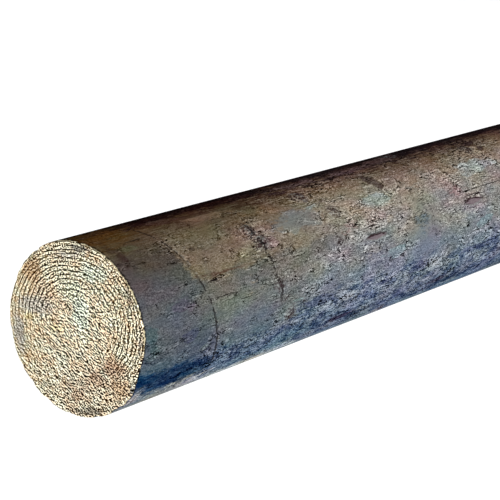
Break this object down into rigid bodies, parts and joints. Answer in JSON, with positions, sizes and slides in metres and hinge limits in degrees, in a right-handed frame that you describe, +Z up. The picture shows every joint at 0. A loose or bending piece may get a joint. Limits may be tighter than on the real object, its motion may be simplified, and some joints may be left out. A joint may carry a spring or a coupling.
{
  "type": "wooden fence post",
  "caption": "Round softwood fence post with a flat sawn top and foot, low knots and shallow flats, that stands in the ground to carry rails or wire.",
  "frame": {"origin": "centre of the post's flat foot", "axes": "+Z up along the post to its sawn top, +X towards the side where the knocked edge of the top is nearest, +Y to the side of it"},
  "size_m": [0.1524, 0.1523, 2.4],
  "materials": {
    "timber": "weathered peeled softwood with sawn end grain"
  },
  "bodies": {
    "root": {"post": "timber"}
  },
  "joints": []
}
